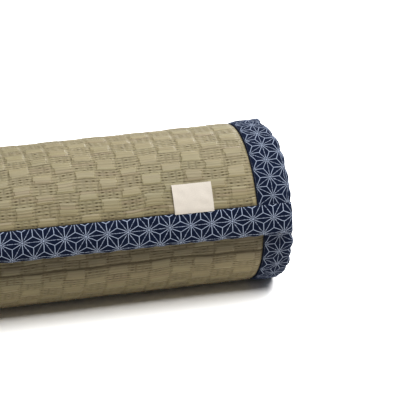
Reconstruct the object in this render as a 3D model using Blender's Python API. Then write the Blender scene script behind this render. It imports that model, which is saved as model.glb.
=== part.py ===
"""A rush floor mat, rolled up: one woven sheet, its cloth bindings and its label.

The roll lies along X, its free end faces -Y, and it rests on Z = 0. Sizes are in metres.
"""

import math

import bpy
import numpy as np

# Sizes of the mat laid flat
MAT_WIDTH = 0.600
MAT_LENGTH = 1.800
MAT_THICKNESS = 0.0076
MAT_EDGE_THICKNESS = 0.0050
EDGE_SLOPE = 0.0018

# Sizes of the cloth sewn round it
BINDING_WIDTH = 0.0300
END_BINDING_WIDTH = 0.0272
BINDING_WALL = 0.0010
BINDING_CORNER = 0.0012
POCKET_CORNER = 0.0002
LABEL_WIDTH = 0.0345
LABEL_HEIGHT = 0.0235
LABEL_THICKNESS = 0.0010
LABEL_FROM_RIGHT_EDGE = 0.0685
CLEARANCE = 0.0003

# Sizes of the roll
ROLL_RADIUS = 0.0740
TURN_PITCH = 0.0081
FACETS = 32
FREE_END_ANGLE = math.radians(1.8)
OUT_OF_ROUND = 0.0005
TELESCOPE = 0.0030

STEP = 2 * math.pi / FACETS
BOTTOM_CORNER = FACETS * 3 // 4
CENTRE_RADIUS = ROLL_RADIUS - MAT_THICKNESS / 2
FULL = MAT_THICKNESS / 2
THIN = MAT_EDGE_THICKNESS / 2

# Colours of the cloth and the rush
RUSH_COLOUR = (0.392, 0.323, 0.198)
BINDING_COLOUR = (0.012, 0.020, 0.052)
LABEL_COLOUR = (0.73, 0.69, 0.62)


def clear_scene():
    for thing in list(bpy.data.objects):
        bpy.data.objects.remove(thing, do_unlink=True)


def material(name, colour, roughness):
    made = bpy.data.materials.new(name)
    made.use_nodes = True
    shader = made.node_tree.nodes["Principled BSDF"]
    shader.inputs["Base Color"].default_value = (*colour, 1.0)
    shader.inputs["Roughness"].default_value = roughness
    shader.inputs["Metallic"].default_value = 0.0
    made.diffuse_color = (*colour, 1.0)
    return made


# The spiral: the angle goes up the front from -Y, over the top and down the back


def spiral_radius(corner):
    """Radius of the sheet's middle at a facet corner, before the roll sags on the floor."""
    angle = corner * STEP
    wound = angle - FREE_END_ANGLE
    radius = CENTRE_RADIUS - TURN_PITCH * wound / (2 * math.pi)
    return radius + OUT_OF_ROUND * math.cos(2 * angle)


def corner_radius(corner):
    """Radius of the sheet's middle at a facet corner, with the two facets at the bottom level."""
    past_bottom = corner % FACETS - BOTTOM_CORNER
    if abs(past_bottom) > 1:
        return spiral_radius(corner)
    bottom = spiral_radius(corner - past_bottom)
    if past_bottom:
        return bottom
    return (bottom + FULL) * math.cos(STEP) - FULL


def corner_point(corner, lift):
    """Place (y, z) of a facet corner, lifted off the sheet's middle."""
    radius = corner_radius(corner) + lift
    angle = corner * STEP
    return np.array((-radius * math.cos(angle), radius * math.sin(angle)))


def sheet_point(place, lift):
    """Place (y, z) at a number of facets round the roll, on the chord between two corners."""
    low = math.floor(place)
    share = place - low
    start = corner_point(low, lift)
    if share < 1e-9:
        return start
    return start + share * (corner_point(low + 1, lift) - start)


def slide(place):
    """How far a turn has slipped along the roll, so that its ends aren't quite level."""
    turns = (place * STEP - FREE_END_ANGLE) / (2 * math.pi)
    if turns < 1:
        return TELESCOPE * (turns - 0.5)
    return TELESCOPE * (1 - 0.5 * math.exp(2 - 2 * turns))


def arc_lengths():
    """Facet places from the free end inwards, with the length of mat used up at each."""
    place = FREE_END_ANGLE / STEP
    places = [place]
    lengths = [0.0]
    while lengths[-1] < MAT_LENGTH:
        following = math.floor(place + 1e-9) + 1
        chord = sheet_point(following, 0.0) - sheet_point(place, 0.0)
        lengths.append(lengths[-1] + float(np.linalg.norm(chord)))
        places.append(following)
        place = following
    return places, lengths


PLACES, LENGTHS = arc_lengths()


def place_at(length):
    return float(np.interp(length, LENGTHS, PLACES))


def stations(start, end):
    """Facet places from one length of mat to another, with every facet corner between."""
    first = place_at(start)
    last = place_at(end)
    between = range(math.ceil(first + 0.02), math.floor(last - 0.02) + 1)
    return [first, *between, last]


# Solids


def ring_points(place, outline):
    """World points of an outline of (x, lift) pairs at one place on the roll."""
    points = []
    for x, lift in outline:
        y, z = sheet_point(place, lift)
        points.append((x + slide(place), y, z))
    return points


def loft(rings):
    """Faces of a solid through rings of equal length, with a cap on the first and the last."""
    size = len(rings[0])
    last = (len(rings) - 1) * size
    faces = [tuple(range(size)), tuple(reversed(range(last, last + size)))]
    for here in range(0, last, size):
        there = here + size
        for j in range(size):
            k = (j + 1) % size
            faces.append((here + j, there + j, there + k, here + k))
    return faces


def add_solid(name, rings, faces, surface):
    mesh = bpy.data.meshes.new(name)
    mesh.from_pydata([point for ring in rings for point in ring], [], faces)
    made = bpy.data.objects.new(name, mesh)
    bpy.context.scene.collection.objects.link(made)
    mesh.materials.append(surface)
    mesh.shade_smooth()
    mesh.set_sharp_from_angle(angle=math.radians(30))
    return made


def mat_outline(half_thickness):
    """Section across the mat: thin under the side bindings and thick between them."""
    edge = MAT_WIDTH / 2 - BINDING_WALL - CLEARANCE
    seam = MAT_WIDTH / 2 - BINDING_WIDTH - CLEARANCE
    body = seam - EDGE_SLOPE
    under = [(-edge, -THIN), (-seam, -THIN), (-body, -half_thickness)]
    under += [(body, -half_thickness), (seam, -THIN), (edge, -THIN)]
    over = [(x, -lift) for x, lift in reversed(under)]
    return under + over


def build_mat(surface):
    """The woven sheet, from inside one end binding to inside the other."""
    start = BINDING_WALL + CLEARANCE
    seam = END_BINDING_WIDTH + CLEARANCE
    thin_start = stations(start, seam)
    thick = stations(seam + EDGE_SLOPE, MAT_LENGTH - seam - EDGE_SLOPE)
    thin_end = stations(MAT_LENGTH - seam, MAT_LENGTH - start)
    rings = [ring_points(place, mat_outline(THIN)) for place in thin_start]
    rings += [ring_points(place, mat_outline(FULL)) for place in thick]
    rings += [ring_points(place, mat_outline(THIN)) for place in thin_end]
    return add_solid("mat", rings, loft(rings), surface)


def side_outline(side):
    """Section of a side binding: a strip folded round the mat's long edge."""
    edge = MAT_WIDTH / 2
    seam = edge - BINDING_WIDTH
    round_in = edge - BINDING_CORNER
    round_down = FULL - BINDING_CORNER
    inner = FULL - BINDING_WALL
    fold = edge - BINDING_WALL
    outside = [(seam, -FULL), (round_in, -FULL), (edge, -round_down)]
    outside += [(edge, round_down), (round_in, FULL), (seam, FULL)]
    inside = [(seam, inner), (fold, inner), (fold, -inner), (seam, -inner)]
    if side > 0:
        return outside + inside
    return [(-x, lift) for x, lift in reversed(outside + inside)]


def build_side_binding(name, side, surface):
    gap = END_BINDING_WIDTH + CLEARANCE
    places = stations(gap, MAT_LENGTH - gap)
    rings = [ring_points(place, side_outline(side)) for place in places]
    return add_solid(name, rings, loft(rings), surface)


def end_outline(inset, corner):
    """Section across an end binding, drawn in by an inset and with its corners cut."""
    x = MAT_WIDTH / 2 - inset
    lift = FULL - inset
    right = [(x - corner, -lift), (x, corner - lift), (x, lift - corner), (x - corner, lift)]
    left = [(-across, height) for across, height in reversed(right)]
    return right + left


def build_end_binding(name, tip, inward, surface):
    """A strip folded over a short end and sewn shut at its corners, like a shallow pocket."""
    fold = tip + inward * BINDING_CORNER
    floor = tip + inward * BINDING_WALL
    mouth = tip + inward * END_BINDING_WIDTH
    outer = stations(min(fold, mouth), max(fold, mouth))
    inner = stations(min(floor, mouth), max(floor, mouth))
    if inward < 0:
        outer.reverse()
        inner.reverse()
    rings = [ring_points(place_at(tip), end_outline(BINDING_CORNER, BINDING_CORNER))]
    rings += [ring_points(place, end_outline(0.0, BINDING_CORNER)) for place in outer]
    pocket = end_outline(BINDING_WALL, POCKET_CORNER)
    rings += [ring_points(place, pocket) for place in reversed(inner)]
    faces = loft(rings)
    if inward < 0:
        faces = [tuple(reversed(face)) for face in faces]
    return add_solid(name, rings, faces, surface)


def build_label(surface):
    """The label, lying on the mat just above the outer end binding."""
    right = MAT_WIDTH / 2 - LABEL_FROM_RIGHT_EDGE
    left = right - LABEL_WIDTH
    low = FULL + CLEARANCE
    high = low + LABEL_THICKNESS
    outline = [(left, low), (right, low), (right, high), (left, high)]
    start = END_BINDING_WIDTH
    rings = [ring_points(place, outline) for place in stations(start, start + LABEL_HEIGHT)]
    return add_solid("label", rings, loft(rings), surface)


def settle(things):
    """Moves the whole roll onto the floor, centred over the origin."""
    points = np.array([tuple(vertex.co) for thing in things for vertex in thing.data.vertices])
    low = points.min(axis=0)
    high = points.max(axis=0)
    move = ((low[0] + high[0]) / 2, (low[1] + high[1]) / 2, low[2])
    for thing in things:
        for vertex in thing.data.vertices:
            vertex.co = [vertex.co[i] - move[i] for i in range(3)]
        thing.data.update()


def main():
    clear_scene()
    rush = material("rush", RUSH_COLOUR, 0.55)
    left_cloth = material("left_binding_cloth", BINDING_COLOUR, 0.85)
    right_cloth = material("right_binding_cloth", BINDING_COLOUR, 0.85)
    outer_cloth = material("outer_binding_cloth", BINDING_COLOUR, 0.85)
    inner_cloth = material("inner_binding_cloth", BINDING_COLOUR, 0.85)
    label_cloth = material("label_cloth", LABEL_COLOUR, 0.8)
    things = [
        build_mat(rush),
        build_side_binding("side_binding_left", -1, left_cloth),
        build_side_binding("side_binding_right", 1, right_cloth),
        build_end_binding("outer_end_binding", 0.0, 1, outer_cloth),
        build_end_binding("inner_end_binding", MAT_LENGTH, -1, inner_cloth),
        build_label(label_cloth),
    ]
    settle(things)


main()
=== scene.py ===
"""The looks of a rolled rush floor mat, laid out as a Blender add-on and run as a script.

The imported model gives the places. This file adds the woven rush, the printed cloth bindings,
the label and the stage. Sizes are in metres.
"""

import math

import bpy
import numpy as np
from bpy.props import FloatProperty, FloatVectorProperty, PointerProperty
from mathutils import Matrix, Vector


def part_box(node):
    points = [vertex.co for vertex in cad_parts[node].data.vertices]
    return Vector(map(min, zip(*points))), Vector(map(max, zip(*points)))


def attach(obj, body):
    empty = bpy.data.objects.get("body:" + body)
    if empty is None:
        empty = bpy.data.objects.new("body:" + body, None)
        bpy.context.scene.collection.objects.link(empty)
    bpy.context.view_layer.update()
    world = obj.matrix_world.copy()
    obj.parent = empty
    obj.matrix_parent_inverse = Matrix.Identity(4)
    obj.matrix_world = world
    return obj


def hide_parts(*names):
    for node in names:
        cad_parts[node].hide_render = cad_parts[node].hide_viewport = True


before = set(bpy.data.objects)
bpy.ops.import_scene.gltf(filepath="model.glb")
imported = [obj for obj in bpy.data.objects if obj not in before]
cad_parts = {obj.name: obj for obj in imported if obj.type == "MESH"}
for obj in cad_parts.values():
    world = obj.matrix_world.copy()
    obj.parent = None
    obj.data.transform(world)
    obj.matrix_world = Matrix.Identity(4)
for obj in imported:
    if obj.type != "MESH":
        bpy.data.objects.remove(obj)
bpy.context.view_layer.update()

bl_info = {
    "name": "Rolled rush mat",
    "version": (1, 0, 0),
    "blender": (4, 5, 0),
    "location": "3D View > Sidebar > Rush Mat",
    "description": "Builds the woven rush, bindings, label and stage of a rolled floor mat",
    "category": "Object",
}

# Rows of rush in a wide and in a narrow block of the weave, and stitches across a block
WIDE_ROWS = 4
NARROW_ROWS = 3
STITCHES = 3

# From one thread to the next in the cotton cloth
BINDING_THREAD = 0.00045
LABEL_THREAD = 0.0003

# Points at the hidden end of a folded section, which its bake draws small
HIDDEN_POINTS = 8


def size(name, description, default):
    return FloatProperty(
        name=name, description=description, default=default, precision=4, unit="LENGTH"
    )


def colour(name, description, default):
    return FloatVectorProperty(
        name=name, description=description, default=default, size=3, min=0, max=1, subtype="COLOR"
    )


def degrees(name, description, default):
    return FloatProperty(
        name=name, description=description, default=math.radians(default), subtype="ANGLE"
    )


def amount(name, description, default, least=0.0):
    return FloatProperty(name=name, description=description, default=default, min=least)


class RollSizes(bpy.types.PropertyGroup):
    mat_width: size("Mat width", "Width of the mat, along the roll", 0.600)
    mat_length: size("Mat length", "Length of the mat, laid flat", 1.800)
    thickness: size("Thickness", "Thickness of the rush and of the bound edges", 0.0076)
    edge_thickness: size("Edge thickness", "Thickness of the rush under the bindings", 0.0050)
    edge_slope: size("Edge slope", "Width over which the rush thins at a seam", 0.0018)
    clearance: size("Clearance", "Gap between pieces", 0.0003)
    radius: size("Roll radius", "Outer radius of the roll at its free end", 0.0740)
    pitch: size("Turn pitch", "Distance from one turn to the next", 0.0081)
    out_of_round: size("Out of round", "How much wider than round the roll is", 0.0005)
    telescope: size("Telescope", "How far the turns have slipped along the roll", 0.0030)
    free_end: degrees("Free end", "Angle of the free end above the front of the roll", 1.8)
    flat_half: degrees("Flat spot", "Half the angle of the flat that the roll rests on", 11.25)


class RushSettings(bpy.types.PropertyGroup):
    block_width: size("Block width", "Width of one block of the weave, along the rushes", 0.0187)
    row_width: size("Row width", "Width of one row of rush", 0.00268)
    first_block: size("First block", "Where a block starts, from the middle of the mat", 0.1737)
    first_row: size("First row", "Where a block starts, from the free end", 0.0159)
    drift: size("Drift", "How far the blocks lean along the mat's first part", 0.0027)
    relief: size("Relief", "How far the smooth blocks stand above the joints", 0.00048)
    crease: size("Crease", "Where the rush creases under the free end", 0.4019)
    edge_inset: size("Edge inset", "How far the rush stops inside the side bindings' folds", 0.0085)
    straw: colour("Straw", "Colour of the pale rushes", (0.266, 0.221, 0.119))
    olive: colour("Olive", "Colour of the greener rushes", (0.223, 0.196, 0.104))
    tan: colour("Tan", "Colour of the redder rushes", (0.252, 0.193, 0.114))
    # Shade is the colour that the painted shade between the rushes darkens towards
    shade: colour("Shade", "Colour deep between the rushes", (0.042, 0.030, 0.011))


class BindingSettings(bpy.types.PropertyGroup):
    side_width: size("Side width", "Width of the binding on a long edge", 0.0300)
    end_width: size("End width", "Width of the binding on a short end", 0.0272)
    narrowing: size("Narrowing", "How much narrower the side binding is under the free end", 0.0036)
    cloth: size("Cloth", "Thickness of the folded cloth", 0.0010)
    puff: size("Puff", "How far the cloth puffs up between seam and fold", 0.0009)
    pucker: size("Pucker", "Depth of the puckers along the fold", 0.0025)
    line_width: size("Line width", "Width of the printed lines", 0.00045)
    ground: colour("Ground", "Colour of the cloth", (0.0030, 0.0068, 0.0220))
    ink: colour("Ink", "Colour of the printed lines", (0.405, 0.472, 0.612))


class LabelSettings(bpy.types.PropertyGroup):
    width: size("Width", "Width of the label", 0.0345)
    height: size("Height", "Height of the label above the binding", 0.0235)
    from_right: size("From right", "From the mat's right edge to the label", 0.0685)
    cloth: size("Cloth", "Thickness of the doubled label", 0.0008)
    colour: colour("Colour", "Colour of the label", (0.660, 0.605, 0.530))


class StageSettings(bpy.types.PropertyGroup):
    lens: amount("Lens", "Focal length in millimetres", 296.0, least=20.0)
    distance: size("Distance", "From the camera to the point that it looks at", 2.866)
    look_x: size("Look along", "Point looked at, along the roll", 0.23535)
    look_z: size("Look height", "Height of the point looked at", 0.0735)
    azimuth: degrees("Azimuth", "Turn of the camera about the roll, from its front", -15.1)
    elevation: degrees("Elevation", "Height of the camera above the level", 24.34)
    floor: colour("Floor", "Colour of the floor as it is seen", (0.90, 0.90, 0.90))
    bounce: colour("Floor bounce", "Colour of the floor as it lights the mat", (0.84, 0.80, 0.75))
    glare: amount("Glare", "How far the floor is overexposed as it is seen", 1.75, least=1.0)
    softbox: size("Softbox", "Width of the light overhead", 2.6)
    softbox_height: size("Softbox height", "Height of the light over the floor", 2.6)
    softbox_power: amount("Softbox power", "Power of the light overhead in watts", 141.0)
    back_light: size("Back light", "Width of the light behind the mat", 1.2)
    back_power: amount("Back light power", "Power of the light behind in watts", 45.0)
    fill: amount("Fill", "Strength of the light from all round", 0.08)


# The roll


def ripple(a, b, wave_a, wave_b, seed, waves=14):
    """Smooth unevenness of about one unit, with these wavelengths along a and b."""
    chosen = np.random.default_rng(seed)
    total = np.zeros(np.broadcast(a, b).shape)
    for _ in range(waves):
        turn_a, turn_b = chosen.normal(size=2) * 2 * math.pi
        phase = chosen.uniform(0, 2 * math.pi)
        total = total + np.sin(turn_a * a / wave_a + turn_b * b / wave_b + phase)
    return total / math.sqrt(waves / 2)


def ease(value):
    held = np.clip(value, 0.0, 1.0)
    return held * held * (3 - 2 * held)


class Roll:
    """Where the wound sheet lies: from a length along the mat to a place in the roll."""

    OVERHANG = 0.10
    TABLE_STEP = math.radians(0.25)
    MOST_TURNS = 7.4
    BLEND = 0.0005

    # Turns at which the side bindings grow narrow and wide again, and over how much of a turn
    NARROW_FROM = 0.72
    NARROW_TO = 1.03
    GROW_NARROW = 0.12
    GROW_WIDE = 0.1

    # Angle past the flat spot over which the cloth comes free of the floor
    LIFT_OFF = 0.35

    def __init__(self):
        self.sizes = bpy.context.scene.roll_sizes
        self.half = self.sizes.thickness / 2
        self.thin = self.sizes.edge_thickness / 2
        first = self.sizes.free_end - self.OVERHANG
        last = self.sizes.free_end + self.MOST_TURNS * 2 * math.pi
        self.angles = np.arange(first, last, self.TABLE_STEP)
        radius = self.radius(self.angles)
        across = np.diff(radius * np.cos(self.angles))
        up = np.diff(radius * np.sin(self.angles))
        self.lengths = np.concatenate(([0.0], np.cumsum(np.hypot(across, up))))
        self.lengths -= np.interp(self.sizes.free_end, self.angles, self.lengths)
        low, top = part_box("mat")
        cloth = bpy.context.scene.binding_settings.cloth
        covered = self.sizes.mat_width / 2 - cloth - self.sizes.clearance
        self.axis_x = low[0] + covered + self.sizes.telescope / 2
        self.axis_y = top[1] - self.radius(math.pi) - self.half
        self.axis_z = top[2] - self.radius(math.pi / 2) - self.half
        self.one_turn = float(self.length_at(self.sizes.free_end + 2 * math.pi))

    def radius(self, angle):
        """Radius of the sheet's middle, flattened where the roll rests on the floor."""
        sizes = self.sizes
        inward = sizes.pitch / (2 * math.pi)
        centre = sizes.radius - self.half
        round_one = centre - inward * (angle - sizes.free_end)
        round_one = round_one + sizes.out_of_round * np.cos(2 * angle)
        off = (angle - math.pi / 2) % (2 * math.pi) - math.pi
        bottom = centre - inward * (angle - off - sizes.free_end) - sizes.out_of_round
        reach = (bottom + self.half) * math.cos(sizes.flat_half)
        level = reach / np.maximum(np.cos(off), 0.3) - self.half
        share = np.clip(0.5 + 0.5 * (level - round_one) / self.BLEND, 0.0, 1.0)
        mixed = level + share * (round_one - level)
        return mixed - self.BLEND * share * (1 - share)

    def length_at(self, angle):
        return np.interp(angle, self.angles, self.lengths)

    def slide(self, angle):
        """How far a turn has slipped along the roll."""
        turns = (angle - self.sizes.free_end) / (2 * math.pi)
        inner = 1 - 0.5 * np.exp(2 - 2 * np.maximum(turns, 1))
        return self.sizes.telescope * np.where(turns < 1, turns - 0.5, inner)

    def place(self, x, length, lift):
        """World points of the sheet at x, at a length along it, lifted off its middle.

        A turn that slips along the roll is wound a little askew, so its rows lean too.
        """
        turns = self.turns(length)
        lean = self.sizes.telescope / self.one_turn * np.exp(2 - 2 * np.maximum(turns, 1))
        angle = np.interp(length - lean * x, self.lengths, self.angles)
        radius = self.radius(angle) + lift
        points = np.broadcast_arrays(
            self.axis_x + x + self.slide(angle),
            self.axis_y - radius * np.cos(angle),
            self.axis_z + radius * np.sin(angle),
        )
        return np.stack(points, axis=-1)

    def turns(self, length):
        wound = np.interp(length, self.lengths, self.angles) - self.sizes.free_end
        return wound / (2 * math.pi)

    def narrowing(self, length):
        """How much narrower the side bindings are, just under the free end."""
        turns = self.turns(length)
        most = bpy.context.scene.binding_settings.narrowing
        start = ease((turns - self.NARROW_FROM) / self.GROW_NARROW)
        end = ease((turns - self.NARROW_TO) / self.GROW_WIDE)
        return most * start * (1 - end)

    def off_floor(self, length):
        """1 on the free part of the roll, falling to 0 where it rests on the floor."""
        angle = np.interp(length, self.lengths, self.angles)
        off = (angle - math.pi / 2) % (2 * math.pi) - math.pi
        return ease((np.abs(off) - self.sizes.flat_half) / self.LIFT_OFF)


# Mesh helpers


def new_object(name, data):
    made = bpy.data.objects.new(name, data)
    bpy.context.scene.collection.objects.link(made)
    return made


def new_piece(name, points, faces):
    mesh = bpy.data.meshes.new(name)
    mesh.from_pydata(points, [], faces)
    mesh.shade_smooth()
    return new_object(name, mesh)


def add_map(made, name, corners):
    """A UV map from one (u, v) for each face corner, in the faces' order."""
    layer = made.data.uv_layers.new(name=name)
    layer.uv.foreach_set("vector", np.asarray(corners, np.float32).ravel())


def tube_faces(stations, ring):
    """Quads along a tube, each corner given as a station and a place in the ring."""
    here, j = np.meshgrid(np.arange(stations - 1), np.arange(ring), indexing="ij")
    here, j = here.ravel(), j.ravel()
    corners = [(here, j), (here + 1, j), (here + 1, j + 1), (here, j + 1)]
    return np.stack([np.stack(corner, -1) for corner in corners], axis=1)


def tube(name, points, flip=False):
    """A closed tube through rings of points, and its side faces from tube_faces."""
    stations, ring = points.shape[:2]
    sides = tube_faces(stations, ring)
    caps = [list(range(ring)), list(reversed(range((stations - 1) * ring, stations * ring)))]
    if flip:
        sides = sides[:, ::-1]
        caps = [cap[::-1] for cap in caps]
    indices = sides[..., 0] * ring + sides[..., 1] % ring
    return new_piece(name, points.reshape(-1, 3), indices.tolist() + caps), sides


def paint_tube(made, sides, along, from_seam, shown, rows):
    """Maps for a tube's print and for its bake: the shown part gets most of the bake's room.

    along is a value for each station, from_seam one for each station and place in the ring,
    and shown is True for the faces that the bake draws large.
    """
    station, place = sides[..., 0], sides[..., 1]
    ring = from_seam.shape[1]
    flat = np.stack((along[station], from_seam[station, place % ring]), axis=-1)
    cap_corners = np.zeros((2 * ring, 2))
    add_map(made, "cloth", np.concatenate((flat.reshape(-1, 2), cap_corners)))
    middle = flat[..., 0].mean(axis=1)
    start = middle[shown].min()
    shown_share = 0.7
    row_length = (middle[shown].max() - start) * 1.02 / rows
    row = np.clip(np.floor((middle - start) / row_length), 0, rows - 1)
    u = (flat[..., 0] - (start + row * row_length)[:, None]) / row_length
    near = place / ring
    widest = place[shown].max() / ring
    v = (row[:, None] + 0.04 + 0.9 * near / widest) / rows * shown_share
    rest_u = (flat[..., 0] - along.min()) / np.ptp(along)
    rest_v = shown_share + 0.02 + 0.26 * near
    big = shown[:, None]
    u = np.where(big, 0.01 + 0.96 * np.clip(u, 0, 1.02), 0.01 + 0.98 * rest_u)
    v = np.where(big, v, rest_v)
    caps = np.full((2 * ring, 2), 0.995) - np.random.default_rng(3).random((2 * ring, 2)) * 0.004
    add_map(made, "OFBake", np.concatenate((np.stack((u, v), -1).reshape(-1, 2), caps)))


# Shader helpers


class Wire:
    """A value in a shader tree. Arithmetic on it adds Math nodes."""

    def __init__(self, nodes, socket):
        self.nodes = nodes
        self.socket = socket

    def __add__(self, other):
        return self.nodes.math("ADD", self, other)

    def __sub__(self, other):
        return self.nodes.math("SUBTRACT", self, other)

    def __rsub__(self, other):
        return self.nodes.math("SUBTRACT", other, self)

    def __mul__(self, other):
        return self.nodes.math("MULTIPLY", self, other)

    def __truediv__(self, other):
        return self.nodes.math("DIVIDE", self, other)

    def __rtruediv__(self, other):
        return self.nodes.math("DIVIDE", other, self)

    def __pow__(self, other):
        return self.nodes.math("POWER", self, other)


class Nodes:
    """Short ways to add nodes to one shader tree."""

    def __init__(self, tree):
        self.tree = tree
        self.count = 0

    def add(self, kind, *inputs, **settings):
        node = self.tree.nodes.new(kind)
        node.location = (220 * (self.count // 5), -190 * (self.count % 5))
        self.count += 1
        for name, value in settings.items():
            setattr(node, name, value)
        for socket, value in zip(node.inputs, inputs):
            self.put(socket, value)
        return node

    def put(self, socket, value):
        if isinstance(value, Wire):
            self.tree.links.new(value.socket, socket)
        else:
            socket.default_value = value

    def out(self, node, name=0):
        return Wire(self, node.outputs[name])

    def wires(self, node):
        """Each output of a node by its name."""
        return {socket.name: Wire(self, socket) for socket in node.outputs}

    def math(self, operation, *inputs, clamp=False):
        return self.out(self.add("ShaderNodeMath", *inputs, operation=operation, use_clamp=clamp))

    def most(self, first, *others):
        for other in others:
            first = self.math("MAXIMUM", first, other)
        return first

    def least(self, first, *others):
        for other in others:
            first = self.math("MINIMUM", first, other)
        return first

    def ramp(self, value, low, high, to_low=0.0, to_high=1.0):
        """A smooth step from to_low to to_high as the value goes from low to high."""
        node = self.add("ShaderNodeMapRange", value, low, high, to_low, to_high)
        node.interpolation_type = "SMOOTHSTEP"
        return self.out(node)

    def mix(self, share, first, second, blend="MIX"):
        node = self.add("ShaderNodeMix", data_type="RGBA", blend_type=blend)
        self.put(node.inputs["Factor"], share)
        self.put(node.inputs["A"], first)
        self.put(node.inputs["B"], second)
        return self.out(node, "Result")

    def toned(self, colour, tone, share=1.0):
        """A colour made lighter or darker by a tone."""
        return self.mix(share, colour, self.vector(tone, tone, tone), "MULTIPLY")

    def noise(self, vector, scale=1.0, detail=2.0):
        node = self.add("ShaderNodeTexNoise")
        self.put(node.inputs["Vector"], vector)
        self.put(node.inputs["Scale"], scale)
        self.put(node.inputs["Detail"], detail)
        return self.out(node, "Fac")

    def chance(self, x, y, z):
        """A number from 0 to 1 that differs from one whole place to the next."""
        return self.out(self.add("ShaderNodeTexWhiteNoise", self.vector(x, y, z)), "Value")

    def apart(self, vector):
        """The x and y of a vector."""
        node = self.add("ShaderNodeSeparateXYZ", vector)
        return self.out(node, "X"), self.out(node, "Y")

    def vector(self, x, y, z=0.0):
        return self.out(self.add("ShaderNodeCombineXYZ", x, y, z))

    def map_place(self, name):
        """The place on one of the piece's maps."""
        return self.out(self.add("ShaderNodeUVMap", uv_map=name), "UV")

    def use_group(self, name, **values):
        node = self.add("ShaderNodeGroup", node_tree=bpy.data.node_groups[name])
        for socket, value in values.items():
            self.put(node.inputs[socket], value)
        return self.wires(node)


def new_group(name, inputs, outputs):
    """A new shader group with named sockets: its nodes, and what goes in and comes out."""
    tree = bpy.data.node_groups.new(name, "ShaderNodeTree")
    for socket, kind in inputs.items():
        tree.interface.new_socket(socket, in_out="INPUT", socket_type="NodeSocket" + kind)
    for socket, kind in outputs.items():
        tree.interface.new_socket(socket, in_out="OUTPUT", socket_type="NodeSocket" + kind)
    nodes = Nodes(tree)
    return nodes, nodes.wires(nodes.add("NodeGroupInput")), nodes.add("NodeGroupOutput").inputs


def new_material(name, roughness):
    made = bpy.data.materials.new(name)
    made.use_nodes = True
    shader = made.node_tree.nodes["Principled BSDF"]
    shader.inputs["Roughness"].default_value = roughness
    return made, Nodes(made.node_tree), shader


def opaque(values):
    return (*values, 1.0)


def add_bump(nodes, shader, height, distance, strength):
    bump = nodes.add("ShaderNodeBump")
    bump.inputs["Distance"].default_value = distance
    bump.inputs["Strength"].default_value = strength
    nodes.put(bump.inputs["Height"], height)
    nodes.put(shader.inputs["Normal"], nodes.out(bump, "Normal"))


# Shader groups


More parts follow.
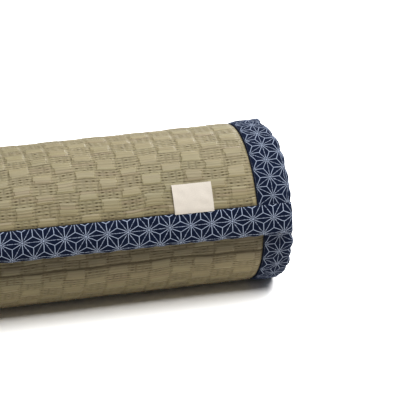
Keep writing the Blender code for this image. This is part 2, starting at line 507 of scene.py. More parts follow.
def build_rush_group():
    """Blocks of long floats and of fine stitches, from a map counted in blocks and rows."""
    colours = {"Straw": "Color", "Olive": "Color", "Tan": "Color", "Shade": "Color"}
    nodes, given, out = new_group(
        "Rush weave",
        {"Weave": "Vector", "Crease": "Float", **colours},
        {"Color": "Color", "Height": "Float", "Roughness": "Float"},
    )
    plain_across, plain_rows = nodes.apart(given["Weave"])
    waver = nodes.noise(nodes.vector(plain_across * 1.1, plain_rows * 0.6))
    rows = plain_rows + (waver - 0.5) * 0.6
    wobble = nodes.noise(nodes.vector(plain_across * 1.7, plain_rows * 1.3))
    across = plain_across + (wobble - 0.5) * 0.08
    streak = nodes.noise(nodes.vector(plain_across * 0.6, rows * 2.2), detail=3.0)
    grain = nodes.noise(nodes.vector(plain_across * 1.6, rows * 6.0))
    cloud = nodes.noise(nodes.vector(plain_across * 0.25, plain_rows * 0.06))

    # Which block, how far up it, and how far along it: a wide block has one row more
    column = nodes.math("FLOOR", across)
    row = nodes.math("FLOOR", rows)
    in_column = nodes.math("FRACT", across)
    in_period = nodes.math("FLOORED_MODULO", rows, WIDE_ROWS + NARROW_ROWS)
    wide = nodes.math("LESS_THAN", in_period, WIDE_ROWS)
    from_low = in_period - (1.0 - wide) * WIDE_ROWS
    to_high = wide + NARROW_ROWS - from_low
    block = nodes.math("ABSOLUTE", nodes.math("FLOORED_MODULO", column, 2.0) - wide)
    to_joint = nodes.least(in_column, 1.0 - in_column)

    # Chances for each rush, each stitch and each joint
    segment = nodes.chance(column, row, 3.0)
    other = nodes.chance(column, row, 9.0)
    valley_row = nodes.math("ROUND", rows)
    stitch_number = column * STITCHES + nodes.math("FLOOR", in_column * STITCHES)
    open_stitch = nodes.chance(stitch_number, valley_row, 5.0)
    bar_number = nodes.math("ROUND", across * STITCHES)
    tight_bar = nodes.chance(bar_number, nodes.math("FLOOR", rows * 0.5), 6.0)
    open_joint = nodes.chance(nodes.math("ROUND", across), valley_row, 8.0)

    # The floats end raggedly, and the joints between them are stitched like the fine blocks
    ragged = to_joint - nodes.ramp(other, 0.0, 1.0, 0.02, 0.12)
    floats = block * nodes.ramp(ragged, 0.0, 0.06)
    fine = 1.0 - floats
    crest = nodes.math("ABSOLUTE", nodes.math("SINE", rows * math.pi)) ** 0.8
    valley = 1.0 - crest
    stitch_wave = nodes.math("COSINE", in_column * (2 * math.pi * STITCHES))
    stitch = nodes.math("MULTIPLY_ADD", stitch_wave, -0.5, 0.5)
    bar = (1.0 - stitch) ** 5.0
    joint = nodes.ramp(to_joint, 0.03, 0.10, 1.0, 0.0)

    # How deep a place lies between the rushes, as painted shade in its slots, bars, furrows, gaps
    # and crease, and deeper where the free end covers them, for its painted shadow
    slot = stitch**1.8 * nodes.ramp(open_stitch, 0.0, 1.0, 0.15, 1.4)
    tick = joint * nodes.ramp(open_joint, 0.0, 1.0, 0.15, 0.95)
    opening = nodes.most(slot, tick) * (valley * fine)
    tight = bar * fine * nodes.ramp(tight_bar, 0.4, 1.0, 0.05, 0.34)
    furrow = valley * fine * 0.40
    gap = valley * floats * nodes.ramp(other, 0.3, 1.0, 0.04, 0.50)
    # Painted shadow of each float along the top edge of the fine block below it
    painted_float_shadow = nodes.ramp(to_high, 0.0, 0.5, 1.0, 0.0) * (1.0 - block)
    painted_float_shadow = painted_float_shadow * nodes.ramp(streak, 0.38, 0.6, 0.15, 0.85)
    # Painted shade in the crease under the free end; its groove is in the height below as well
    from_crease = rows - given["Crease"]
    crease = nodes.ramp(nodes.math("ABSOLUTE", from_crease), 0.05, 0.5, 1.0, 0.0)
    crease = crease * nodes.ramp(streak, 0.35, 0.6, 0.4, 0.95)
    # Painted shadow of the free end: covered rises from seven rows before the crease to full past
    # it, and deepens the gaps' painted shade
    covered = nodes.ramp(from_crease, -7.0, 2.5)
    depth = nodes.most(opening, tight, furrow, gap, painted_float_shadow, crease) * (covered * 0.8 + 1.0)
    # The fine blocks are darkened a little all over
    depth = nodes.math("ADD", depth, fine * 0.18, clamp=True)

    green = segment * 0.35 + cloud * 0.9
    base = nodes.mix(nodes.ramp(green, 0.45, 0.95, 0.0, 0.8), given["Straw"], given["Olive"])
    base = nodes.mix(nodes.ramp(other, 0.86, 0.97, 0.0, 0.5), base, given["Tan"])
    # Painted highlight along the low edge of each float
    painted_float_highlight = nodes.ramp(from_low, 0.0, 0.7, 0.14, 0.0) * floats
    # Painted highlight on the crests of the stitches and joints in the fine blocks
    painted_crest_highlight = crest * fine * (stitch * 0.16 + joint * 0.14)
    tone = streak * 0.60 + grain * 0.30 + segment * 0.15 + painted_float_highlight + painted_crest_highlight + 0.49
    # The free end's painted shadow also darkens the tone
    toned = nodes.toned(base, tone * (1.0 - covered * 0.52))
    # The painted shade mixes the rush towards the Shade colour
    nodes.put(out["Color"], nodes.mix(depth * 0.88, toned, given["Shade"]))

    fine_height = crest * stitch * 0.30 + 0.30
    edge = nodes.ramp(nodes.least(from_low, to_high), 0.0, 0.6)
    float_height = edge * 0.45 + crest * 0.10 + 0.40
    height = fine_height * fine + float_height * floats + streak * 0.35
    dug = opening * 0.45 + tight * 0.3 + crease * 0.6
    nodes.put(out["Height"], height - dug)
    nodes.put(out["Roughness"], depth * 0.3 + 0.5)


def build_hemp_leaf_group():
    """The hemp-leaf print: a lattice of triangles, and lines from each middle to its corners."""
    nodes, given, out = new_group(
        "Hemp leaf print", {"Place": "Vector", "Line": "Float"}, {"Ink": "Float"}
    )
    place, line = given["Place"], given["Line"]
    plain_along, plain_up = nodes.apart(place)
    wobble = nodes.noise(place, 3.0) - 0.5
    shake = nodes.noise(place, 11.0) - 0.5
    worn = nodes.noise(place, 14.0)

    # A triangle's corners, and how near a place is to each: a, b and c
    triangle_height = math.sqrt(0.75)
    skew_up = (plain_up - wobble * 0.04) / triangle_height
    skew_along = plain_along + wobble * 0.05 - skew_up * 0.5
    a = nodes.math("FRACT", skew_along)
    b = nodes.math("FRACT", skew_up)
    upper = nodes.math("GREATER_THAN", a + b, 1.0)
    a = nodes.math("ABSOLUTE", upper - a)
    b = nodes.math("ABSOLUTE", upper - b)
    c = 1.0 - a - b
    least = nodes.least(a, b, c)
    middle = 1.0 - nodes.most(a, b, c) - least

    to_spoke = (middle - least) * 0.5
    to_side = least * triangle_height + shake * 0.05
    to_star = nodes.math("SQRT", middle * middle + least * least + middle * least)
    spoke = nodes.ramp(to_spoke, line * 0.38, line * 0.72, 1.0, 0.0)
    side = nodes.ramp(to_side, line * 0.28, line * 0.62, 1.0, 0.0)
    side = side * nodes.ramp(worn, 0.35, 0.6, 0.55, 1.0)
    lines = nodes.most(spoke, side) * nodes.ramp(to_star, 0.065, 0.10)
    bead = nodes.ramp(to_star, 0.01, 0.024, 0.4, 1.0) * nodes.ramp(to_star, 0.038, 0.058, 1.0, 0.0)
    nodes.put(out["Ink"], nodes.most(lines, bead) * nodes.ramp(worn, 0.25, 0.6, 0.75, 1.0))


def build_cotton_group():
    """A plain weave of thread, from a map in metres and the thread's pitch."""
    nodes, given, out = new_group(
        "Cotton weave", {"Place": "Vector", "Thread": "Float"}, {"Height": "Float", "Tone": "Float"}
    )
    along, across = nodes.apart(given["Place"])
    turn = math.pi / given["Thread"]
    warp = nodes.math("SINE", along * turn)
    weft = nodes.math("SINE", across * turn)
    weave = nodes.math("MULTIPLY_ADD", warp * weft, 0.5, 0.5)
    slub = nodes.noise(given["Place"], 0.35 / given["Thread"])
    nodes.put(out["Height"], weave * 0.7 + slub * 0.6)
    nodes.put(out["Tone"], (slub * 0.5 + 0.75) * (weave * 0.16 + 0.92))


# Materials


def rush_material(crease_row):
    settings = bpy.context.scene.rush_settings
    made, nodes, shader = new_material("woven_rush", roughness=0.55)
    out = nodes.use_group(
        "Rush weave", Weave=nodes.map_place("weave"), Crease=crease_row,
        Straw=opaque(settings.straw), Olive=opaque(settings.olive), Tan=opaque(settings.tan),
        Shade=opaque(settings.shade),
    )
    nodes.put(shader.inputs["Base Color"], out["Color"])
    nodes.put(shader.inputs["Roughness"], out["Roughness"])
    shader.inputs["Specular IOR Level"].default_value = 0.35
    shader.inputs["Sheen Weight"].default_value = 0.25
    shader.inputs["Sheen Roughness"].default_value = 0.35
    shader.inputs["Sheen Tint"].default_value = (1.0, 0.92, 0.72, 1.0)
    add_bump(nodes, shader, out["Height"], distance=0.0008, strength=1.0)
    return made


def binding_material(name, star_along, star_spacing, star_from_seam, row_scale, seam_shade_band, strength):
    """The printed cloth of one piece.

    The print is given by the place of one star, along the strip and from its seam, by the distance
    to the next star, by the scale across the strip, by the width of the band at the seam where the
    cloth gets painted shade and its print fades, and by the strength of the ink.
    """
    settings = bpy.context.scene.binding_settings
    made, nodes, shader = new_material(name, roughness=0.85)
    flat = nodes.map_place("cloth")
    plain_along, from_seam = nodes.apart(flat)
    along = (plain_along - star_along) / star_spacing
    across = (from_seam - star_from_seam) / row_scale
    line = settings.line_width / row_scale
    ink = nodes.use_group("Hemp leaf print", Place=nodes.vector(along, across), Line=line)["Ink"]
    weave = nodes.use_group("Cotton weave", Place=flat, Thread=BINDING_THREAD)
    # Painted shade in the ditch at the seam: the cloth is darkened there and its print faded
    painted_seam_shade = nodes.ramp(from_seam, seam_shade_band * 0.6, seam_shade_band, 1.0, 0.0)
    cloud = nodes.ramp(nodes.noise(flat, 60.0), 0.3, 0.75, 0.0, 0.35)
    ground = nodes.mix(cloud, opaque(settings.ground), opaque([1.7 * v for v in settings.ground]))
    shown = ink * ((1.0 - painted_seam_shade * 0.9) * strength)
    printed = nodes.mix(shown, ground, opaque(settings.ink))
    # The seam's painted shade darkens the cloth
    tone = weave["Tone"] * (1.0 - painted_seam_shade * 0.5)
    nodes.put(shader.inputs["Base Color"], nodes.toned(printed, tone))
    shader.inputs["Sheen Weight"].default_value = 0.22
    shader.inputs["Sheen Roughness"].default_value = 0.3
    shader.inputs["Sheen Tint"].default_value = (0.30, 0.48, 1.0, 1.0)
    shader.inputs["Specular IOR Level"].default_value = 0.08
    add_bump(nodes, shader, weave["Height"] + ink * 0.5, distance=0.0002, strength=0.6)
    return made


def label_material():
    settings = bpy.context.scene.label_settings
    made, nodes, shader = new_material("cream_label", roughness=0.8)
    flat = nodes.map_place("cloth")
    weave = nodes.use_group("Cotton weave", Place=flat, Thread=LABEL_THREAD)
    cloud = nodes.ramp(nodes.noise(flat, 90.0), 0.3, 0.7, 0.0, 0.5)
    warm = nodes.mix(cloud, opaque(settings.colour), opaque([0.95 * v for v in settings.colour]))
    nodes.put(shader.inputs["Base Color"], nodes.toned(warm, weave["Tone"], 0.4))
    add_bump(nodes, shader, weave["Height"], distance=0.00015, strength=0.6)
    return made


# The mat


class Weave:
    """The weave's grid: where its blocks lie and how high they stand."""

    STEPS_PER_BLOCK = 8
    STEPS_PER_ROW = 2
    STRETCHED = 0.020

    # Added so that no place has a count below zero: an even number of blocks, and whole
    # periods of a wide and a narrow block
    BLOCKS_BEFORE = 100
    ROWS_BEFORE = 10 * (WIDE_ROWS + NARROW_ROWS)

    # Where across the mat the crease's row is counted, and how deep and wide the crease is
    CREASE_AT = 0.2
    CREASE_DEPTH = 0.0006
    CREASE_WIDTH = 0.0018

    # How far the sheet sags in places, and how far the fine grid goes on under the free end
    SAG = 0.00025
    UNDER_FLAP = 0.008

    def __init__(self, roll):
        self.roll = roll
        self.rush = bpy.context.scene.rush_settings
        self.seam = roll.sizes.mat_width / 2 - bpy.context.scene.binding_settings.side_width
        self.seam -= roll.sizes.clearance
        self.body = self.seam - roll.sizes.edge_slope
        step = self.rush.block_width / self.STEPS_PER_BLOCK
        self.columns = np.append(np.arange(-self.body, self.body - step / 3, step), self.body)

    def stretch(self, x, length):
        """Moves the edge of the rush out to where the side binding is narrower."""
        near = ease((np.abs(x) - self.body + self.STRETCHED) / self.STRETCHED)
        return x + np.sign(x) * near * self.roll.narrowing(length)

    def blocks(self, x, length):
        lean = self.rush.drift * (1 - ease((length - 0.025) / 0.075))
        return (x - self.rush.first_block + lean) / self.rush.block_width + self.BLOCKS_BEFORE

    def rows(self, x, length):
        wander = 0.22 * ripple(x, length, 0.09, 0.06, 11)
        return (length - self.rush.first_row) / self.rush.row_width + self.ROWS_BEFORE + wander

    def crease_row(self):
        """The row in which the crease lies."""
        return float(self.rows(self.CREASE_AT, self.rush.crease))

    def relief(self, x, length):
        """Height of the blocks over the joints, from 0 to 1: floats bulge and stitches lie low."""
        across = self.blocks(x, length)
        row = self.rows(x, length) % (WIDE_ROWS + NARROW_ROWS)
        wide = row < WIDE_ROWS
        along = np.where(wide, row / WIDE_ROWS, (row - WIDE_ROWS) / NARROW_ROWS)
        floats = (np.floor(across) % 2 == 1) != wide
        bulge = 1 - np.abs(2 * along - 1) ** 3
        gap = np.minimum(across % 1, 1 - across % 1)
        joined = 0.55 + 0.45 * ease(gap / 0.14)
        return joined * np.where(floats, 0.45 + 0.55 * bulge, 0.38 - 0.13 * bulge)

    def top(self, x, length):
        """Lift of the upper side over the middle of the sheet."""
        sag = self.SAG * (1 - ease(0.5 + 0.5 * ripple(x, length, 0.10, 0.08, 5)))
        from_crease = (length - self.rush.crease) / self.CREASE_WIDTH
        crease = self.CREASE_DEPTH * np.exp(-(from_crease**2))
        return self.roll.half - sag - crease - self.rush.relief * (1 - self.relief(x, length))


def mat_stations(roll, weave):
    """Lengths along the mat for its rings, which carry the fine grid and which are thick."""
    sizes = roll.sizes
    binding = bpy.context.scene.binding_settings
    inside = binding.cloth + sizes.clearance
    seam = binding.end_width + sizes.clearance
    fine_step = weave.rush.row_width / weave.STEPS_PER_ROW
    under_flap = roll.one_turn + weave.UNDER_FLAP
    fine = np.arange(seam + sizes.edge_slope, under_flap, fine_step)
    first_angle = np.interp(fine[-1], roll.lengths, roll.angles) + 0.05
    coarse_step = math.radians(7.5)
    coarse = roll.length_at(np.arange(first_angle, roll.angles[-1], coarse_step))
    last = sizes.mat_length - seam - sizes.edge_slope
    coarse = coarse[coarse < last - 0.003]
    tail = np.linspace(sizes.mat_length - seam, sizes.mat_length - inside, 5)
    head = (inside, inside + 0.002, seam - 0.004, seam)
    lengths = np.concatenate((head, fine, coarse, [last], tail))
    has_grid = (lengths > seam - 0.005) & (lengths < under_flap)
    thick = (lengths > seam + sizes.edge_slope / 2) & (lengths < last + 0.0001)
    return lengths, has_grid, thick


def build_mat():
    """The rush sheet: one wound sheet, with the weave's blocks raised where it shows."""
    roll = Roll()
    weave = Weave(roll)
    sizes = roll.sizes
    lengths, has_grid, thick = mat_stations(roll, weave)
    edge = sizes.mat_width / 2 - weave.rush.edge_inset
    pressed = 0.7 * roll.thin
    taper = 0.0016
    side_lift = np.array([0.7 * pressed, pressed, pressed])

    points, maps, faces, rings = [], [], [], []
    for length, grid, full in zip(lengths, has_grid, thick):
        half = roll.half if full else pressed
        side_x = np.array([edge, edge - taper, weave.seam + roll.narrowing(length)])
        under_x = np.concatenate((-side_x, [-weave.body, weave.body], side_x[::-1]))
        under_lift = -np.concatenate((side_lift, [half, half], side_lift[::-1]))
        top_x = weave.columns[::-1] if grid else np.array([weave.body, -weave.body])
        top_x = weave.stretch(top_x, length)
        top_lift = np.full(len(top_x), half)
        if grid and full:
            top_lift = weave.top(top_x, length)
            top_lift[[0, -1]] = roll.half - 1.4 * weave.rush.relief
        x = np.concatenate((under_x, side_x, top_x, -side_x[::-1]))
        lift = np.concatenate((under_lift, side_lift, top_lift, side_lift[::-1]))
        rings.append((sum(map(len, points)), len(under_x), len(side_x), len(top_x)))
        points.append(roll.place(x, length, lift))
        length_each = np.full(len(x), length)
        maps.append(np.stack((weave.blocks(x, length), weave.rows(x, length), x, length_each), -1))

    def strip(first, second, count):
        for n in range(count - 1):
            faces.append((first + n, second + n, second + n + 1, first + n + 1))

    for (here, under, side, top), (there, _, _, next_top) in zip(rings, rings[1:]):
        strip(here, there, under + side)
        a, b = here + under + side - 1, there + under + side - 1
        if top == next_top:
            strip(a, b, top + 2)
        else:
            faces.append((*range(a, a + top + 2), *reversed(range(b, b + next_top + 2))))
        a, b = a + top + 1, b + next_top + 1
        strip(a, b, side)
        faces.append((a + side - 1, b + side - 1, there, here))
    first, last = rings[0], rings[-1]
    faces.append(tuple(range(first[0], first[0] + first[1] + 2 * first[2] + first[3])))
    faces.append(tuple(reversed(range(last[0], last[0] + last[1] + 2 * last[2] + last[3]))))
    made = new_piece("woven_rush_mat", np.concatenate(points), faces)
    map_mat(made, np.concatenate(maps), rings, lengths, has_grid)
    made.data.materials.append(rush_material(weave.crease_row()))
    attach(made, "root")
    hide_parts("mat")


def map_mat(made, values, rings, lengths, has_grid):
    """The weave's map in blocks and rows, and a bake map with most room for the fine grid."""
    corners = np.empty(len(made.data.loops), np.int32)
    made.data.loops.foreach_get("vertex_index", corners)
    add_map(made, "weave", values[corners, :2])
    counts = np.empty(len(made.data.polygons), np.int32)
    made.data.polygons.foreach_get("loop_total", counts)
    face_of = np.repeat(np.arange(len(counts)), counts)
    fine = np.zeros(len(values), bool)
    for (start, under, side, top), grid in zip(rings, has_grid):
        fine[start + under + side:start + under + side + top] = grid
    all_fine = np.minimum.reduceat(fine[corners], np.concatenate(([0], np.cumsum(counts)[:-1])))
    large = all_fine[face_of].astype(bool)
    x, length = values[corners, 2], values[corners, 3]
    wide = made.dimensions[0]
    grid_lengths = lengths[has_grid]
    u = 0.5 + x / wide * 0.99
    v_large = 0.005 + 0.86 * (length - grid_lengths[0]) / np.ptp(grid_lengths)
    top_side = np.repeat(np.arange(len(counts)) % 2, counts)
    v_small = 0.875 + 0.055 * top_side + 0.05 * length / lengths[-1]
    add_map(made, "OFBake", np.stack((u, np.where(large, v_large, v_small)), -1))


# The bindings


def fold_section(width, half, cloth, seam_drop):
    """A strip folded in a U: each point's depth from the fold, its lift and its place across.

    The strip is pressed down at its seams, and its place across is counted from the seam.
    """
    bend = 0.003
    pressed = 0.0028
    leg_points = 10
    bend_points = 7
    depth = width - (width - bend) * np.linspace(0.0, 1.0, leg_points) ** 1.4
    drop = seam_drop * (1 - ease((width - depth) / pressed))
    turn = np.linspace(math.pi / 2, -math.pi / 2, bend_points)[1:-1]
    arc = (math.pi / 2 - turn) * (bend + half) / 2
    round_bend = math.pi * (bend + half) / 2
    outer_depth = np.concatenate((depth, bend - bend * np.cos(turn), depth[::-1]))
    outer_lift = np.concatenate((half - drop, half * np.sin(turn), -(half - drop)[::-1]))
    near_leg = width - depth
    far_leg = width - bend + round_bend + (depth - bend)[::-1]
    across = np.concatenate((near_leg, width - bend + arc, far_leg))
    thin = half - cloth
    near = bend - cloth
    leg = slice(0, leg_points, 3)
    inner_turn = turn[::2]
    inner_depth = np.concatenate((depth[leg], bend - near * np.cos(inner_turn), depth[leg][::-1]))
    inner_leg = thin - drop[leg]
    inner_lift = np.concatenate((inner_leg, thin * np.sin(inner_turn), -inner_leg[::-1]))
    inner_bend = across[leg_points:-leg_points:2]
    inner_across = np.concatenate((near_leg[leg], inner_bend, far_leg[::-1][leg][::-1]))
    return (
        np.concatenate((outer_depth, inner_depth[::-1])),
        np.concatenate((outer_lift, inner_lift[::-1])),
        np.concatenate((across, inner_across[::-1])),
        len(outer_depth),
    )


def gathers(along, seed, known=()):
    """Scallops of the fold's edge: 0 where the cloth is gathered and up to 1 between."""
    closest = 0.009
    farthest = 0.022
    clear = 0.008
    chosen = np.random.default_rng(seed)
    steps = chosen.uniform(closest, farthest, int(np.ptp(along) / closest))
    places = along[0] + np.cumsum(steps)
    for some in known:
        places = places[(places < some[0] - clear) | (places > some[-1] + clear)]
        places = np.sort(np.append(places, some))
    number = np.interp(along, places, np.arange(len(places)))
    share = number % 1
    size_each = chosen.uniform(0.45, 1.0, len(places) + 1)
    return 4 * share * (1 - share) * size_each[np.floor(number).astype(int)]


def crumple(along, depth, lift, half, width, seed, free, scallop):
    """Moves of a folded strip: puff and wrinkles in its lift, and puckers in its depth."""
    settings = bpy.context.scene.binding_settings
    along, free, scallop = along[:, None], free[:, None], scallop[:, None]
    fold_reach = 0.013
    seam_reach = 0.006
    stitch_length = 0.0042
    middle = np.sin(math.pi * np.clip(depth / width, 0, 1) ** 0.8) ** 0.6
    near_fold = 1 - ease(depth / fold_reach)
    near_seam = 1 - ease((width - depth) / seam_reach)
    upper = ease(0.5 + 0.5 * lift / half)
    wrinkle = 0.00025 * ripple(along, depth * 2.0, 0.012, 0.030, seed)
    fold_wrinkle = 0.00015 * ripple(along, depth, 0.008, 0.02, seed + 1)
    fold_swell = 0.0007 * (scallop - 0.5)
    stitch_dip = 0.00018 * (0.5 + 0.5 * np.cos(2 * math.pi * along / stitch_length))
    rise = free * middle * (settings.puff + wrinkle) - stitch_dip * near_seam
    rise = rise + free * near_fold * (fold_swell + fold_wrinkle)
    pucker = settings.pucker * (scallop - 0.45) * near_fold
    return rise * (2 * upper - 1) * np.where(upper > 0.5, 1.0, 0.2), pucker


def build_side_binding(name, side, known, pinches):
    """A printed strip folded round a long edge, from one end binding to the other.

    Known gathers are where the photographed fold has them, and each pinch is a place, its
    spread and how far the fold is drawn in there.
    """
    roll = Roll()
    settings = bpy.context.scene.binding_settings
    sizes = roll.sizes
    gap = settings.end_width + sizes.clearance / 3
    rings = 800
    lengths = np.linspace(gap, sizes.mat_length - gap, rings)
    width = settings.side_width
    depth, lift, across, outer = fold_section(width, roll.half, settings.cloth, seam_drop=0.0007)
    narrower = 1 - roll.narrowing(lengths) / width
    on_top = ease((roll.one_turn - 0.004 - lengths) / 0.008)
    free = np.maximum(on_top, 0.25) * roll.off_floor(lengths) * ease((lengths - gap) / 0.008)
    scallop = gathers(lengths, 22 + side, known)
    rise, pucker = crumple(lengths, depth, lift, roll.half, width, 20 + side, free, scallop)
    near_fold = 1 - ease(depth / 0.016)
    for place, spread, inward in pinches:
        pucker = pucker - inward * np.exp(-(((lengths[:, None] - place) / spread) ** 2)) * near_fold
    x = side * (sizes.mat_width / 2 - depth * narrower[:, None] + pucker)
    points = roll.place(x, lengths[:, None], lift[None, :] + rise)
    made, sides = tube(name, points, flip=side < 0)
    made.data.set_sharp_from_angle(angle=math.radians(65))
    outer_turn = lengths[sides[..., 0]].max(axis=1) < roll.one_turn + 0.01
    shown = outer_turn & (sides[..., 1].max(axis=1) < outer - HIDDEN_POINTS)
    paint_tube(made, sides, lengths, across * narrower[:, None], shown, 3)
    return made


def build_end_binding(name, tip, inward, puff):
    """A printed strip folded over a short end, right across the mat, with rounded corners."""
    roll = Roll()
    settings = bpy.context.scene.binding_settings
    edge = roll.sizes.mat_width / 2
    width = settings.end_width
    depth, lift, across, outer = fold_section(width, roll.half, settings.cloth, seam_drop=0.0005)
    _, level_lift, _, _ = fold_section(width, roll.half, settings.cloth, seam_drop=0.0)
    corner = 0.003
    overhang = 0.0008
    ends = edge + overhang - corner + corner * np.sin(np.linspace(0.0, math.pi / 2, 6))
    step = 0.003
    between = np.arange(-edge + corner + step, edge - corner - step / 2, step)
    x = np.concatenate((-ends[::-1], between, ends))
    past = np.clip((np.abs(x) - edge + corner) / corner, 0, 1)
    close = np.sqrt(np.maximum(1 - past**2, 0.03))
    free = puff * ease((edge - np.abs(x)) / 0.01)
    scallop = gathers(x, 41)
    rise, pucker = crumple(x, depth, lift, roll.half, width, 40 + inward, free, scallop)
    drawn_in = 0.001 * (1 - depth / width)
    place = tip + inward * (depth + drawn_in - 0.25 * pucker)
    over_side = ease((np.abs(x) - edge + settings.side_width + 0.004) / 0.006)[:, None]
    lift = lift + over_side * (level_lift - lift)
    points = roll.place(x[:, None], place, lift * close[:, None] + rise)
    made, sides = tube(name, points, flip=inward < 0)
    shown = sides[..., 1].max(axis=1) < outer - HIDDEN_POINTS
    paint_tube(made, sides, x, np.broadcast_to(across, points.shape[:2]), shown, 4)
    return made


def finish_binding(made, node, material):
    made.data.materials.append(material)
    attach(made, "root")
    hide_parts(node)


# The label


def build_label():
    """The doubled label: flat where it is sewn, and a little off the mat at its free corners."""
    roll = Roll()
    settings = bpy.context.scene.label_settings
    binding = bpy.context.scene.binding_settings
    right = roll.sizes.mat_width / 2 - settings.from_right
    left = right - settings.width
    under_binding = 0.0006
    start = binding.end_width - under_binding
    columns = 25
    rows = 20
    x = np.linspace(left, right, columns)
    length = np.linspace(start, binding.end_width + settings.height, rows)
    grid_x, grid_length = np.meshgrid(x, length, indexing="ij")
    up = (grid_length - start) / (length[-1] - start)
    from_middle = np.abs(grid_x - (left + right) / 2) / (settings.width / 2)
    curl = 0.0004 * up**2 + 0.0005 * up * from_middle**3
    curl = curl + 0.0001 * ripple(grid_x, grid_length, 0.02, 0.02, 8)
    tuck = 0.0004 * (1 - ease(up / 0.12))
    low = roll.half + curl - tuck
    top = roll.place(grid_x, grid_length, low + settings.cloth)
    bottom = roll.place(grid_x, grid_length, low)
    faces = []
    count = columns * rows
    for i in range(columns - 1):
        for j in range(rows - 1):
            quad = (i * rows + j, (i + 1) * rows + j, (i + 1) * rows + j + 1, i * rows + j + 1)
            faces.append(quad)
            faces.append(tuple(count + index for index in reversed(quad)))
    rim = [(i, 0) for i in range(columns)] + [(columns - 1, j) for j in range(1, rows)]
    rim += [(i, rows - 1) for i in range(columns - 2, -1, -1)]
    rim += [(0, j) for j in range(rows - 2, 0, -1)]
    ring = [i * rows + j for i, j in rim]
    for here, there in zip(ring, ring[1:] + ring[:1]):
        faces.append((here, count + here, count + there, there))
    points = np.concatenate((top.reshape(-1, 3), bottom.reshape(-1, 3)))
    made = new_piece("cream_cloth_label", points, faces)
    flat = np.stack((grid_x, grid_length), axis=-1).reshape(-1, 2)
    corners = np.empty(len(made.data.loops), np.int32)
    made.data.loops.foreach_get("vertex_index", corners)
    add_map(made, "cloth", np.concatenate((flat, flat))[corners])
    made.data.set_sharp_from_angle(angle=math.radians(50))
    made.data.materials.append(label_material())
    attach(made, "root")
    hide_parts("label")


# The stage


# Where the light overhead stands along and across the floor, and where the one behind does
SOFTBOX_PLACE = (1.2, -0.5)
BACK_LIGHT_PLACE = (1.6, 2.0, 1.1)


def build_floor(stage):
    mesh = bpy.data.meshes.new("floor")
    reach = 6.0
    corners = [(-reach, -reach, 0), (reach, -reach, 0), (reach, reach, 0), (-reach, reach, 0)]
    mesh.from_pydata(corners, [], [(0, 1, 2, 3)])
    floor = new_object("floor", mesh)
    made, nodes, shader = new_material("pale_floor", roughness=0.9)
    seen = nodes.out(nodes.add("ShaderNodeLightPath"), "Is Camera Ray")
    shade = nodes.mix(seen, opaque(stage.bounce), opaque([stage.glare * v for v in stage.floor]))
    nodes.put(shader.inputs["Base Color"], shade)
    shader.inputs["Specular IOR Level"].default_value = 0.1
    mesh.materials.append(made)


def aim(place, back):
    """The matrix of something at a place that looks along -back, with no roll."""
    right = Vector((0.0, 0.0, 1.0)).cross(back).normalized()
    axes = Matrix((right, back.cross(right), back)).transposed()
    return Matrix.Translation(place) @ axes.to_4x4()


def add_light(name, width, power):
    light = bpy.data.lights.new(name, "AREA")
    light.size = width
    light.energy = power
    return new_object(name, light)


def build_lights(stage):
    """A wide soft light overhead that points down, and one low behind that faces the mat."""
    overhead = add_light("softbox", stage.softbox, stage.softbox_power)
    overhead.location = (*SOFTBOX_PLACE, stage.softbox_height)
    behind = add_light("back_light", stage.back_light, stage.back_power)
    behind.matrix_world = aim(BACK_LIGHT_PLACE, Vector(BACK_LIGHT_PLACE).normalized())


def build_camera(stage):
    camera = bpy.data.cameras.new("camera")
    camera.lens = stage.lens
    camera.sensor_width = 36.0
    camera.clip_end = 30.0
    made = new_object("camera", camera)
    level = math.cos(stage.elevation)
    sideways = math.sin(stage.azimuth) * level
    back = Vector((sideways, -math.cos(stage.azimuth) * level, math.sin(stage.elevation)))
    target = Vector((stage.look_x, Roll().axis_y, stage.look_z))
    made.matrix_world = aim(target + back * stage.distance, back)
    bpy.context.scene.camera = made


def build_world(stage):
    world = bpy.data.worlds.new("soft_room")
    world.use_nodes = True
    nodes = Nodes(world.node_tree)
    seen = nodes.out(nodes.add("ShaderNodeLightPath"), "Is Camera Ray")
    background = world.node_tree.nodes["Background"]
    background.inputs["Color"].default_value = (1, 1, 1, 1)
    nodes.put(background.inputs["Strength"], nodes.ramp(seen, 0.0, 1.0, stage.fill, 1.0))
    bpy.context.scene.world = world
    bpy.context.scene.view_settings.view_transform = "Standard"


# Operators


class RUSHMAT_OT_weave(bpy.types.Operator):
    """Weave the rush sheet of the rolled mat"""

    bl_idname = "rushmat.weave"
    bl_label = "Rush sheet"

    def execute(self, context):
        build_rush_group()
        build_mat()
        return {"FINISHED"}


class RUSHMAT_OT_side_bindings(bpy.types.Operator):
    """Fold a printed strip round each long edge"""

    bl_idname = "rushmat.side_bindings"
    bl_label = "Side bindings"

    # Where the right binding is gathered and pinched, in metres from the free end
    RIGHT_GATHERS = (
        (0.0346, 0.0494, 0.0715, 0.0930, 0.1180),
        (0.3760, 0.3876, 0.3980, 0.4110),
    )
    RIGHT_PINCHES = ((0.1170, 0.0170, 0.0054), (0.3500, 0.0140, 0.0030))

    PRINT = {
        "star_along": 0.0345,
        "star_spacing": 0.01515,
        "star_from_seam": 0.0142,
        "row_scale": 0.0153,
        "seam_shade_band": 0.0015,
        "strength": 0.84,
    }

    def execute(self, context):
        sides = (("left", -1, (), ()), ("right", 1, self.RIGHT_GATHERS, self.RIGHT_PINCHES))
        for name, side, known, pinches in sides:
            made = build_side_binding(name + "_binding_strip", side, known, pinches)
            cloth = binding_material(name + "_printed_cotton", **self.PRINT)
            finish_binding(made, "side_binding_" + name, cloth)
        return {"FINISHED"}


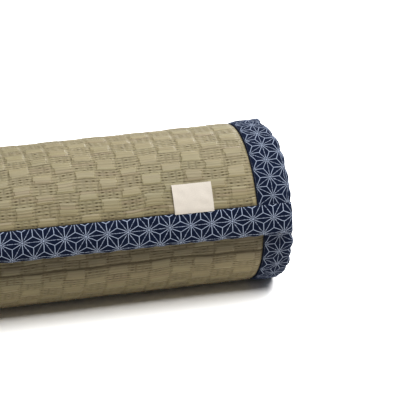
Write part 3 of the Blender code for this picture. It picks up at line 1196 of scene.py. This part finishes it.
class RUSHMAT_OT_end_bindings(bpy.types.Operator):
    """Fold a printed strip over each short end"""

    bl_idname = "rushmat.end_bindings"
    bl_label = "End bindings"

    PRINT = {
        "star_along": 0.2830,
        "star_spacing": 0.01827,
        "star_from_seam": 0.0108,
        "row_scale": 0.0155,
        "seam_shade_band": 0.0002,
        "strength": 1.0,
    }

    def execute(self, context):
        sizes = context.scene.roll_sizes
        ends = (("outer", 0.0, 1, 1.0), ("inner", sizes.mat_length, -1, 0.2))
        for name, tip, inward, puff in ends:
            made = build_end_binding(name + "_binding_strip", tip, inward, puff)
            cloth = binding_material(name + "_printed_cotton", **self.PRINT)
            finish_binding(made, name + "_end_binding", cloth)
        return {"FINISHED"}


class RUSHMAT_OT_label(bpy.types.Operator):
    """Sew the bare label into the seam of the outer end binding"""

    bl_idname = "rushmat.label"
    bl_label = "Label"

    def execute(self, context):
        build_label()
        return {"FINISHED"}


class RUSHMAT_OT_prints(bpy.types.Operator):
    """Make the shader groups of the print and of the cotton weave"""

    bl_idname = "rushmat.prints"
    bl_label = "Print and cotton weave"

    def execute(self, context):
        build_hemp_leaf_group()
        build_cotton_group()
        return {"FINISHED"}


class RUSHMAT_OT_stage(bpy.types.Operator):
    """Set the floor, the lights and the camera"""

    bl_idname = "rushmat.stage"
    bl_label = "Stage"

    def execute(self, context):
        stage = context.scene.stage_settings
        build_floor(stage)
        build_world(stage)
        build_camera(stage)
        build_lights(stage)
        return {"FINISHED"}


OPERATORS = (
    RUSHMAT_OT_stage,
    RUSHMAT_OT_weave,
    RUSHMAT_OT_prints,
    RUSHMAT_OT_side_bindings,
    RUSHMAT_OT_end_bindings,
    RUSHMAT_OT_label,
)

SETTINGS = {
    "roll_sizes": RollSizes,
    "rush_settings": RushSettings,
    "binding_settings": BindingSettings,
    "label_settings": LabelSettings,
    "stage_settings": StageSettings,
}


class RUSHMAT_PT_panel(bpy.types.Panel):
    bl_idname = "RUSHMAT_PT_panel"
    bl_label = "Rush Mat"
    bl_space_type = "VIEW_3D"
    bl_region_type = "UI"
    bl_category = "Rush Mat"

    def draw(self, context):
        for operator in OPERATORS:
            self.layout.operator(operator.bl_idname)
        for name in SETTINGS:
            box = self.layout.box()
            settings = getattr(context.scene, name)
            for entry in settings.bl_rna.properties:
                if entry.identifier not in ("rna_type", "name"):
                    box.prop(settings, entry.identifier)


def register():
    for name, kind in SETTINGS.items():
        bpy.utils.register_class(kind)
        setattr(bpy.types.Scene, name, PointerProperty(type=kind))
    for kind in (*OPERATORS, RUSHMAT_PT_panel):
        bpy.utils.register_class(kind)


def unregister():
    for kind in (RUSHMAT_PT_panel, *reversed(OPERATORS)):
        bpy.utils.unregister_class(kind)
    for name, kind in reversed(SETTINGS.items()):
        delattr(bpy.types.Scene, name)
        bpy.utils.unregister_class(kind)


def main():
    register()
    for operator in OPERATORS:
        getattr(bpy.ops.rushmat, operator.bl_idname.split(".")[1])()


if __name__ == "__main__":
    main()
